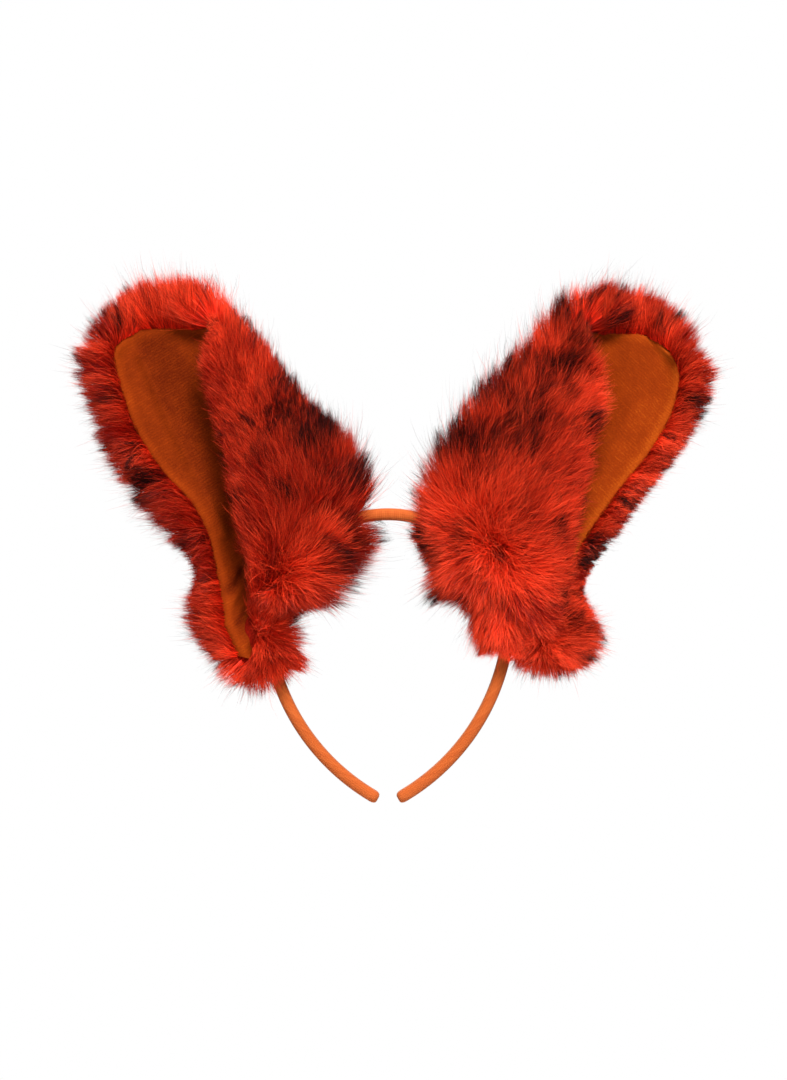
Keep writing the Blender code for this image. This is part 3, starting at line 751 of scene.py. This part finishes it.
def build_wire(ear, material):
    """The wire hoop inside the seam: up the outer edge, over the top, down the lobe's edge."""
    inset, radius, sides, climb, over = 0.03, 0.6 * MM, 8, 40, 48
    u = np.pad(np.linspace(inset, 1 - inset, over + 2)[1:-1], climb,
               constant_values=(inset, 1 - inset))
    share = np.concatenate([np.linspace(0, 1, climb), np.ones(over), np.linspace(1, 0, climb)])
    low = np.where(u < 0.5, 14.0, 40.0)
    height = low + (leaf_tops(ear, u) - 3.0 - low) * share
    across, back, na, nb = section(ear, height, u)
    path = ear.world(across - 0.5 * na, back - 0.5 * nb, height)
    ahead = unit(np.gradient(path, axis=0))
    one = unit(np.cross(ahead, np.array([0.3, 1.0, 0.2])))
    two = np.cross(ahead, one)
    turn = np.linspace(0, 2 * math.pi, sides + 1)[:-1, None]
    rings = path[:, None] + radius * (np.cos(turn) * one[:, None] + np.sin(turn) * two[:, None])
    faces = grid_faces(rings, closed=True)
    obj = new_mesh(f"wire_{ear.name}", rings, faces, material)
    finish_leaf_piece(obj, ear, "ear_wire")


# ---- fur ----


class Patch:
    """A grid of roots: places, pile normals, brushed directions, lengths and lifts."""

    def __init__(self, base, normal, comb, length, lift=1.0):
        self.fields = [
            base,
            unit(normal),
            unit(comb),
            np.broadcast_to(length, base.shape[:2])[..., None],
            np.broadcast_to(lift, base.shape[:2])[..., None],
        ]

    def sample(self, count, rng):
        """Fields at random places, spread evenly over the cloth."""
        area = double_areas(self.fields[0])
        chance = (area / area.sum()).ravel()
        r, c = np.divmod(rng.choice(len(chance), count, p=chance), area.shape[1])
        s, t = rng.random((2, count, 1))
        out = [
            f[r, c] * (1 - s) * (1 - t) + f[r + 1, c] * s * (1 - t)
            + f[r, c + 1] * (1 - s) * t + f[r + 1, c + 1] * s * t
            for f in self.fields
        ]
        out[1], out[2] = unit(out[1]), unit(out[2])
        return out


def turned(v, n, angle):
    """v turned about n by angles."""
    angle = np.asarray(angle)[..., None]
    return unit(v * np.cos(angle) + np.cross(n, v) * np.sin(angle))


ALONG = np.array([0.0, 0.25, 0.5, 0.75, 1.0])
ROWS = len(ALONG) - 1  # pairs of points before the tip


def lay(root, normal, comb, length, rise, rest=0.22):
    """Paths of strands: they leave along the normal and bend into the brushed direction."""
    down = np.minimum((comb * normal).sum(-1, keepdims=True), 0)
    comb = unit(comb - down * normal)
    first = unit(normal * rise + comb * 0.55)
    last = unit(comb + normal * rest)
    t = ALONG[None, :, None]
    reach = length[:, None]
    return root[:, None] + reach * (first[:, None] * (t - t * t / 2) + last[:, None] * (t * t / 2))


def nearest(points, guides):
    tree = KDTree(len(guides))
    for i, p in enumerate(guides):
        tree.insert(p, i)
    tree.balance()
    return np.array([tree.find(p)[1] for p in points], int)


def swirl(root, comb, normal, rng):
    """Turns the brushed direction by slow, smooth disorder over the cloth."""
    angle = np.zeros(len(root))
    for size in (34.0, 17.0):
        wave = rng.normal(0, 2 * math.pi / size / MM, (3, 2))
        phase = rng.uniform(0, 2 * math.pi, 2)
        angle += np.sin(root @ wave[:, 0] / 2 + phase[0]) * np.cos(root @ wave[:, 1] / 2 + phase[1])
    return turned(comb, normal, 0.20 * angle)


# strands to a lock and to a tuft, and the shares of strays, guard hairs and loose strands
LOCK, TUFT = 260, 15
STRAYS, GUARDS, LOOSE = 0.008, 0.062, 0.27


def grow(name, ear, patch, count, seed, material, rise, width, start, trim, dark_chance):
    """Strands over a patch, gathered in tufts inside larger locks."""
    rng = np.random.default_rng(seed)
    draw = rng.uniform
    t = ALONG[None, :, None]

    def roots(number, spin):
        root, normal, comb, length, lift = patch.sample(number, rng)
        comb = swirl(root, comb, normal, np.random.default_rng(seed + 5000))
        stir = ear.stir(root)
        comb = turned(comb, normal, rng.normal(0, 1, number) * (spin + 0.8 * stir))
        # pile that faces the viewer lies flatter than pile on a silhouette
        up = rise * lift[:, 0] * (1 - 0.35 * normal[:, 1] ** 2) * (1 + 0.5 * stir)
        return root, normal, comb, length, up[:, None]

    # locks
    n_lock = max(count // LOCK, 8)
    lock_root, normal, comb, length, up = roots(n_lock, 0.34)
    lock = lay(lock_root, normal, comb, length * draw(0.9, 1.2, (n_lock, 1)),
               up * draw(0.5, 1.3, (n_lock, 1)))
    dark_lock = rng.random(n_lock) < dark_chance(lock_root)
    # tufts, some with dark ends, that gather more the further they are from the parting
    n_tuft = max(count // TUFT, 20)
    tuft_root, normal, comb, length, up = roots(n_tuft, 0.30)
    mate = nearest(tuft_root, lock_root)
    dark = rng.random(n_tuft) < np.where(dark_lock[mate], 0.85, 0.35 * dark_chance(tuft_root))
    tuft = lay(tuft_root, normal, comb,
               length * (draw(0.64, 1.2, n_tuft) + 0.1 * dark)[:, None],
               up * draw(0.5, 1.45, (n_tuft, 1)))
    away = smoothstep(15 * MM, 45 * MM, np.linalg.norm(ear.from_whorl(tuft_root), axis=-1))
    gather = draw(0.1, 0.55, n_tuft) + 0.3 * dark + 0.15 * away
    tuft = tuft + gather[:, None, None] * t**1.5 * (lock[mate] - tuft)
    lock_tone = rng.normal(0, 0.20, n_lock)
    tuft_tone = lock_tone[mate] + rng.normal(0, 0.10, n_tuft)
    tuft_tip = np.where(dark, draw(0.6, 1.2, n_tuft), draw(-0.1, 0.25, n_tuft))
    # strands: most keep to their tuft, some are loose, and a few guard hairs stand proud
    root, normal, comb, length, up = roots(count, 0.24)
    kind = rng.random(count)
    stray, proud = kind < STRAYS, kind < STRAYS + GUARDS
    free = kind < STRAYS + GUARDS + LOOSE
    guard, loose = proud & ~stray, free & ~proud
    comb = turned(comb, normal, free * rng.normal(0, 0.38, count))
    reach = draw(0.66, 1.05, count)
    reach = np.where(guard, draw(1.05, 1.35, count), reach)
    reach = np.where(stray, draw(1.3, 1.75, count), reach)
    lift = up[:, 0] * np.where(free, draw(0.7, 1.6, count), draw(0.6, 1.2, count))
    path = lay(root, normal, comb, length * reach[:, None], lift[:, None])
    mate = nearest(root, tuft_root)
    pull = np.where(dark[mate], draw(0.55, 0.97, count), draw(0.1, 0.7, count) + 0.2 * away[mate])
    pull = np.where(free, draw(0.0, 0.3, count), pull)
    path = path + pull[:, None, None] * t**1.35 * (tuft[mate] - path)
    # a slight wave, across the strand and up from the cloth
    side, each = unit(np.cross(comb, normal)), (count, 1, 1)
    for way, most in ((side, 1.3), (normal, 0.7)):
        wave = draw(0.15, most, each) * MM * np.sin(t * draw(3, 9, each) + draw(0, 6.3, each))
        path = path + way[:, None] * wave * t
    # the pile's painted light and shade, plus random tones of the locks, tufts and strands
    tone = 0.5 + ear.pile_painted_light(root) + tuft_tone[mate] + rng.normal(0, 0.22, count)
    tip_share = tuft_tip[mate] + rng.normal(0, 0.15, count)
    own = rng.random(count) < 0.3 + 1.2 * dark_chance(root)
    tip_share = np.where(proud | (loose & (rng.random(count) < 0.4)),
                         np.where(own, draw(0.3, 1.0, count), 0.0), tip_share)
    thick = width * MM * draw(0.65, 1.3, count)
    thick = thick * np.where(stray, 0.5, np.where(guard, 0.65, 1.0))
    keep = trim(path, rng)
    verts, loops, sizes = ribbons(path[keep], normal[keep], thick[keep], rng)
    uv = {"OFBake": strand_map(tone[keep], tip_share[keep], start)}
    return new_mesh(name, verts, loops, material, sizes=sizes, uv=uv)


def ribbons(path, normal, thick, rng):
    """Tapered ribbons along paths, turned roughly flat on the pile."""
    count = len(path)
    run = unit(path[:, -1] - path[:, 0])
    flat = unit(np.cross(run, normal))
    twist = rng.normal(0, 0.8, (count, 1))
    flat = flat * np.cos(twist) + np.cross(run, flat) * np.sin(twist)
    taper = 1 - 0.7 * ALONG[:ROWS] ** 1.5
    half = flat[:, None] * (thick[:, None] * taper)[..., None] / 2
    per = 2 * ROWS + 1
    verts = np.empty((count, per, 3))
    verts[:, 0:-1:2] = path[:, :ROWS] - half
    verts[:, 1:-1:2] = path[:, :ROWS] + half
    verts[:, -1] = path[:, -1]
    base = (np.arange(count) * per)[:, None]
    steps = [base + np.array([[0, 1, 3, 2]]) + 2 * k for k in range(ROWS - 1)]
    steps.append(base + np.array([[per - 3, per - 2, per - 1]]))
    sizes = np.tile(np.array([4] * (ROWS - 1) + [3], np.int32), count)
    return verts, np.concatenate(steps, axis=1).ravel(), sizes


def strand_map(tone, tip_share, start):
    """Places in the strand map: a column for each tone and tip share, v along the strand."""
    tone_step = np.clip(np.round(tone * (TONES - 1)), 0, TONES - 1)
    tip_step = np.clip(np.round(tip_share * (TIPS - 1)), 0, TIPS - 1)
    column = (tip_step * TONES + tone_step)[:, None]
    uv = np.empty((len(tone), 2 * ROWS + 1, 2))
    uv[:, 0:-1:2, 0] = (column + 0.2) / COLUMNS
    uv[:, 1:-1:2, 0] = (column + 0.8) / COLUMNS
    uv[:, -1, 0] = (column[:, 0] + 0.5) / COLUMNS
    uv[:, 0:-1:2, 1] = uv[:, 1:-1:2, 1] = start + (0.99 - start) * ALONG[:ROWS]
    uv[:, -1, 1] = 0.99
    return uv.reshape(-1, 2)


def radiating(ear, across, height):
    """Out of the ear's middle: level over most of its length, and fanned over the top."""
    a, h = across - 2.0, np.maximum(height - 122.0, 0) * 1.3
    size = np.maximum(np.hypot(a, h), 1e-6)
    return ear.direction(a / size, 0 * a, h / size + 0.35 * np.abs(a) / size)


def leaf_patches(ear):
    """The pile's root grids: the back, the fold with the lobe, the rims and the crest."""
    share = np.linspace(0, 1, 70)[:, None]
    near = 2.2

    def skin(count, start, end):
        """Roots over the leaf's outside, at shares round it."""
        u = np.linspace(start, end, count)
        height = leaf_heights(ear, u, share)
        across, back, na, nb = section(ear, height, u)
        base = ear.world(across + FUR_FACE * na, back + FUR_FACE * nb, height)
        return np.broadcast_to(u, height.shape), across, height, base, ear.direction(na, nb)

    def seam(u, turn):
        """Roots rolled round a side seam: the outer rim at 0, or the lobe's edge at 1."""
        turn = np.radians(turn)
        height = leaf_heights(ear, np.full(1, float(u)), share) + 0 * turn
        across, back, na, nb = section(ear, height, u)
        sign = -1.0 if u else np.where(nb < 0, -1.0, 1.0)
        oa, ob = nb * sign, -na * sign
        da = np.cos(turn) * oa + np.sin(turn) * na
        db = np.cos(turn) * ob + np.sin(turn) * nb
        # the rim's front roots stand further in
        front = (1 - u) * 1.2 * np.maximum(-np.sin(turn), 0)
        base = ear.world(across + near * da - front * oa, back + near * db - front * ob, height)
        return across, height, base, ear.direction(da, db)

    patches = {}
    # the fold and the lobe: short and flat towards the edge by the lining
    u, _, height, base, normal = skin(64, 0.40, 1.0)
    edge = smoothstep(0.86, 1.0, u)[..., None]
    rim_way = ear.leaning("rim_out")
    comb = ear.comb(base) * (1 - edge) + rim_way * edge
    short = smoothstep(0.85, 1.0, u)
    length = ear.at("fold_pile", height) * (1 - 0.35 * short) * MM
    patches["lobe"] = Patch(base, normal, comb, length, 1 - 0.45 * short)
    # the back
    u, across, height, base, normal = skin(44, 0.0, 0.42)
    rim = 1 - smoothstep(0.0, 0.22, u)
    comb = ear.comb(base) * (1 - rim[..., None]) + radiating(ear, across, height) * rim[..., None]
    length = (ear.at("rim_pile", height) * rim + 23 * (1 - rim)) * MM
    patches["back"] = Patch(base, normal, comb, length)
    # the outer rim, from the back round to the seam with the lining: level low down
    across, height, base, normal = seam(0, np.linspace(-95, 75, 12))
    level = ear.dims["rim_level"] * smoothstep(32, 12, height)[..., None]
    comb = radiating(ear, across, height) + level * ear.axis
    patches["rim"] = Patch(base, normal, comb, ear.at("rim_pile", height) * MM)
    # the lobe's edge
    _, _, base, normal = seam(1, np.linspace(85, -10, 7))
    patches["edge"] = Patch(base, normal, np.broadcast_to(rim_way, base.shape), 11 * MM, 0.5)
    # the crest
    turn = np.radians(np.linspace(-20, 165, 9))[:, None]
    u = np.broadcast_to(np.linspace(0, 1, 60), (9, 60))
    height = leaf_tops(ear, u)
    across, back, na, nb = section(ear, height, u)
    # in front, the roots stand before the lining's rolled edge
    front = np.maximum(-np.cos(turn), 0) * smoothstep(0.0, 0.1, u)
    off = near * np.cos(turn) - 0.8 * front
    up = near * np.sin(turn) - 2.4 * front
    base = ear.world(across + off * na, back + off * nb, height + up)
    normal = ear.direction(np.cos(turn) * na, np.cos(turn) * nb, np.sin(turn) + 0 * na)
    # the lobe's own top leans over the lining's corner
    over = 1.6 * smoothstep(0.74, 0.95, u)[..., None] * ear.outwards
    comb = radiating(ear, across, height) + over + np.array([0.0, 0.0, 0.4])
    patches["crest"] = Patch(base, normal, comb, ear.at("crest_pile", u) * MM)
    return patches


def wrap_degrees(ear):
    return np.linspace(WRAP_START - 4, ear.dims["wrap_end"], 60)


def wrap_grid(ear, scale):
    """The gathered fabric round the band: places and normals of a soft tube."""
    degrees = wrap_degrees(ear)
    steps = np.arange(len(degrees))
    point, radial = (n[:, None] for n in band_frame(ear.side, np.radians(degrees)))
    turn = np.linspace(0, 2 * math.pi, 41)
    cos, sin = np.cos(turn), np.sin(turn)
    # the inner side narrows at the waist
    place, depth = ear.dims["waist"]
    inner = curve(WRAP_INNER_REACH, degrees) * MM
    inner = inner * (1 - depth * np.exp(-(((degrees - place) / 7) ** 2)))
    reach = np.where(cos > 0, WRAP_OUTER_REACH * MM, inner[:, None])
    thick = np.where(sin > 0, WRAP_BACK_REACH, WRAP_FRONT_REACH) * MM + 0 * reach
    # both ends round off over ten rows, but the tube clears the band
    ends = np.minimum(steps, steps[::-1]) / 10.0
    ease = (0.55 + 0.45 * np.sin(np.clip(ends, 0, 1) * math.pi / 2))[:, None]
    out = np.maximum(reach * scale * ease, 4.6 * MM) * cos
    back = np.maximum(thick * scale * ease, 7.2 * MM) * sin
    base = point + out[..., None] * radial + back[..., None] * BACKWARDS
    normal = (cos / reach)[..., None] * radial + (sin / thick)[..., None] * BACKWARDS
    return base, unit(normal)


def lap_grid(ear, scale):
    """The lap, where the ear's foot hangs below the band's outer side: places and directions."""
    centre, radii, _ = ear.dims["lap"]
    lat = np.linspace(0.05, math.pi - 0.05, 24)[:, None]
    lon = np.linspace(0, 2 * math.pi, 33)[None, :]
    ball = np.stack(
        [np.sin(lat) * np.cos(lon), np.cos(lat) + 0 * lon, np.sin(lat) * np.sin(lon)], -1
    )
    return MM * (np.array(centre) + ball * np.array(radii) * scale), ball


def wrap_patches(ear):
    base, normal = wrap_grid(ear, 0.38)
    radial = unit(ear.from_whorl(base))
    inwards = smoothstep(88, 99, wrap_degrees(ear))[:, None, None]
    comb = unit(ear.comb(base) * 0.6 + radial * 0.6 + inwards * normal)
    length = ear.at("inner_pile", wrap_degrees(ear))[:, None] * MM
    patches = {"wrap": Patch(base, normal, comb, length)}
    _, radii, pile = ear.dims["lap"]
    base, ball = lap_grid(ear, 1.0)
    comb = unit(ball * np.array([1.0, 0.3, 1.0]) + np.array([0.15 * ear.side, 0.0, -0.2]))
    patches["lap"] = Patch(base, unit(ball / np.array(radii)), comb, pile * MM)
    return patches


def lining_trim(ear):
    """Drops the strands that would hang in front of the lining."""

    def trim(path, rng):
        late = path[:, 1:]
        across, height = ear.local(late)
        inner = ear.at("seen_edge", height)
        outer = ear.at("outer_edge", height)
        peak, slope = ear.dims["seen_top"]
        top = peak - slope * np.maximum(12 - across, 0)
        # the lobe's fringe may hang further in than the rim's
        margin = np.where(height < 25, 1.2, 0.0)
        depth = np.minimum((across - inner) / 1.5, outer + margin - across)
        depth = np.minimum(depth, top - height)
        width = outer - curve(FOLD_LINE, height) - curve(FOLD_RADIUS, height)
        behind = leaf_depth((outer - across) / width, height)
        seen = (late[..., 1] < behind * MM) & (height > ear.dims["seen_from"])
        depth = np.where(seen, depth, -99.0).max(1)
        low = (height < 35).any(1)
        inside = ((path > BOX_LOW - PROUD) & (path < BOX_HIGH + PROUD)).all((1, 2))
        return inside & (depth < rng.exponential(1.6, len(path)) * np.where(low, 0.25, 1.0))

    return trim


def dark_tufts(ear, seed):
    """The chance that a tuft has dark ends, cloudy over the ear and highest on its edges."""
    rng = np.random.default_rng(seed)
    # clouds of waves, short across the ear and long up it
    count, sizes = 7, np.array([14.0, 40.0, 50.0])
    waves = rng.normal(0, 1, (count, 3)) * 2 * math.pi / sizes / MM
    phases = rng.uniform(0, 2 * math.pi, count)

    def chance(root):
        across, height = ear.local(root)
        places = np.stack([across * MM, root[:, 1], height * MM], -1)
        cloud = np.sin(places @ waves.T + phases).sum(1) / 3.2
        patches = 0.0
        for a, h, wide, tall, strength in ear.dims["dark"]:
            far = ((across - a) / wide) ** 2 + ((height - h) / tall) ** 2
            patches = patches + strength * np.exp(-far)
        patches = patches * (root[:, 1] < 10 * MM)
        fold = smoothstep(-24, -38, across) * smoothstep(25, 55, height)
        rim = smoothstep(14, 24, across) * smoothstep(30, 50, height)
        low = smoothstep(45, 15, height)
        crest = smoothstep(128, 148, height)
        inner = smoothstep(50, 34, np.abs(root[:, 0]) / MM) * low
        place = patches + 0.65 * fold + 0.25 * rim - 0.55 * low - 0.1 * crest + 1.0 * inner
        return np.clip(0.06 + 0.9 * smoothstep(0.35, 1.2, cloud + place), 0.02, 0.95)

    return chance


# strands, rise off the cloth, thickness in millimetres and first colour along the strand; a later
# first colour skips more of the painted shade at the root
STRANDS = {
    "lobe": (28000, 1.0, 0.22, 0.12),
    "under": (20000, 0.8, 0.24, 0.0),
    "back": (24000, 1.0, 0.25, 0.05),
    "rim": (22000, 0.9, 0.22, 0.3),
    "edge": (5000, 0.7, 0.16, 0.3),
    "crest": (10000, 1.0, 0.22, 0.3),
    "wrap": (27000, 1.0, 0.22, 0.2),
    "lap": (10000, 1.0, 0.22, 0.2),
}


def build_fur(ear, material, seed):
    patches = {**leaf_patches(ear), **wrap_patches(ear)}
    patches["under"] = patches["lobe"]
    chance = dark_tufts(ear, seed + 90)
    trim = lining_trim(ear)
    thin = 1.0
    for k, (part, (count, rise, width, start)) in enumerate(STRANDS.items()):
        obj = grow(f"fur_{part}_{ear.name}", ear, patches[part], int(count * thin), seed + k,
                   material, rise, width, start, trim, chance)
        finish_leaf_piece(obj, ear, "wrap_fur" if part in ("wrap", "lap") else "ear_fur")


def build_wrap_backing(ear, material):
    """Closed backings of the wrap and the lap, under their pile."""
    tubes = {"wrap": (wrap_grid(ear, 0.36), ear.side < 0), "lap": (lap_grid(ear, 0.85), False)}
    for name, ((base, _), flip) in tubes.items():
        base = base[:, :-1]
        faces = grid_faces(base, flip=flip, closed=True)
        obj = new_mesh(f"{name}_backing_{ear.name}", base, faces, material)
        finish_leaf_piece(obj, ear, "wrap_fur")


# ---- everything ----


def build_object():
    fur, velour, knit = fur_material(), velour_material(), knit_material()
    backing = grained("fur_backing", (0.12, 0.004, 0.002), (0.24, 0.009, 0.004), 900.0, 0.4,
                      depth=0.0004, rough=0.5, Roughness=1.0, Specular_IOR_Level=0.0)
    foam = grained("foam", (0.62, 0.58, 0.46), (0.78, 0.74, 0.62), 700.0, 0.5, Roughness=0.95)
    wire = grained("steel_wire", (0.42, 0.42, 0.43), (0.6, 0.6, 0.61), 800.0, 0.1,
                   Roughness=0.35, Metallic=1.0)
    for name in SIDES:
        build_sleeve(name, knit)
    for seed, name in enumerate(SIDES):
        ear = Ear(name)
        left = ear.side < 0
        build_foam(ear, foam)
        build_sheet(ear, "lining", velour, "ear_lining", -LINING_FACE, left, True)
        build_sheet(ear, "fur_backing", backing, "ear_fur", FUR_FACE, not left)
        build_wire(ear, wire)
        build_wrap_backing(ear, backing)
        build_fur(ear, fur, 100 * (seed + 1))
    finishes = {
        "band_core": grained("core_plastic", (0.5, 0.46, 0.38), (0.62, 0.58, 0.5), 300.0, 0.1,
                             Roughness=0.45),
        "wrap_lining": grained("wrap_velour", (0.30, 0.05, 0.008), (0.42, 0.08, 0.014), 900.0, 0.5,
                               Roughness=0.9),
        "wrap_thread": grained("thread", (0.42, 0.07, 0.012), (0.6, 0.12, 0.02), 2500.0, 0.5,
                               Roughness=0.7),
    }
    for node_name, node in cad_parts.items():
        for start, material in finishes.items():
            if node_name.startswith(start):
                node.data.materials.clear()
                node.data.materials.append(material)


LIGHTS = {
    "key": ((0.35, -1.4, 1.35), 0.6, 78.0, (1.0, 0.98, 0.95)),
    "fill": ((-0.4, -1.6, -0.1), 1.2, 9.0, (0.98, 0.99, 1.0)),
    "top": ((-0.1, 0.2, 1.5), 1.0, 14.0, (1.0, 1.0, 1.0)),
    "back": ((0.0, 1.4, 0.5), 1.0, 8.0, (1.0, 1.0, 1.0)),
}


def build_stage():
    scene = bpy.context.scene
    world = bpy.data.worlds.new("studio")
    scene.world = world
    world.use_nodes = True
    tree = world.node_tree
    tree.nodes.clear()
    out = tree.nodes.new("ShaderNodeOutputWorld")
    mix = tree.nodes.new("ShaderNodeMixShader")
    ray = tree.nodes.new("ShaderNodeLightPath")
    tree.links.new(ray.outputs["Is Camera Ray"], mix.inputs[0])
    # the glow that lights the object, and the white that the camera sees
    backgrounds = {1: ((1.0, 0.99, 0.98, 1.0), 0.28), 2: ((1.0, 1.0, 1.0, 1.0), 1.0)}
    for place, values in backgrounds.items():
        node = tree.nodes.new("ShaderNodeBackground")
        node.inputs[0].default_value, node.inputs[1].default_value = values
        tree.links.new(node.outputs[0], mix.inputs[place])
    tree.links.new(mix.outputs[0], out.inputs[0])

    radius, low, sides = 0.19, -0.30, 96
    ring = [(radius * math.cos(a), radius * math.sin(a), low)
            for a in np.linspace(0, 2 * math.pi, sides + 1)[:-1]]
    mesh = bpy.data.meshes.new("floor")
    mesh.from_pydata(ring, [], [tuple(range(sides))])
    m = Nodes("floor_white", Roughness=0.9)
    m.colour(m.ramp(m.noise(m.place(), 8.0), (0.3, (0.86,) * 3), (0.7, (0.89,) * 3)))
    mesh.materials.append(m.material)
    floor = bpy.data.objects.new("floor", mesh)
    scene.collection.objects.link(floor)

    for name, (place, size, power, colour) in LIGHTS.items():
        data = bpy.data.lights.new(name, "AREA")
        data.shape = "SQUARE"
        data.size, data.energy, data.color = size, power, colour
        light = bpy.data.objects.new(name, data)
        light.location = place
        light.rotation_euler = (Vector() - Vector(place)).to_track_quat("-Z", "Y").to_euler()
        scene.collection.objects.link(light)

    scene.view_settings.view_transform = "Standard"
    scene.view_settings.look = "None"
    camera = bpy.data.cameras.new("camera")
    camera.sensor_fit = "HORIZONTAL"
    camera.sensor_width = 36.0
    distance, seen_width = 1.6, 0.378
    camera.lens = 36.0 * distance / seen_width
    eye = bpy.data.objects.new("camera", camera)
    eye.location = (2.64 * MM, -distance, -9.4 * MM)
    eye.rotation_euler = (math.radians(90), 0.0, 0.0)
    scene.collection.objects.link(eye)
    scene.camera = eye


build_stage()
build_object()
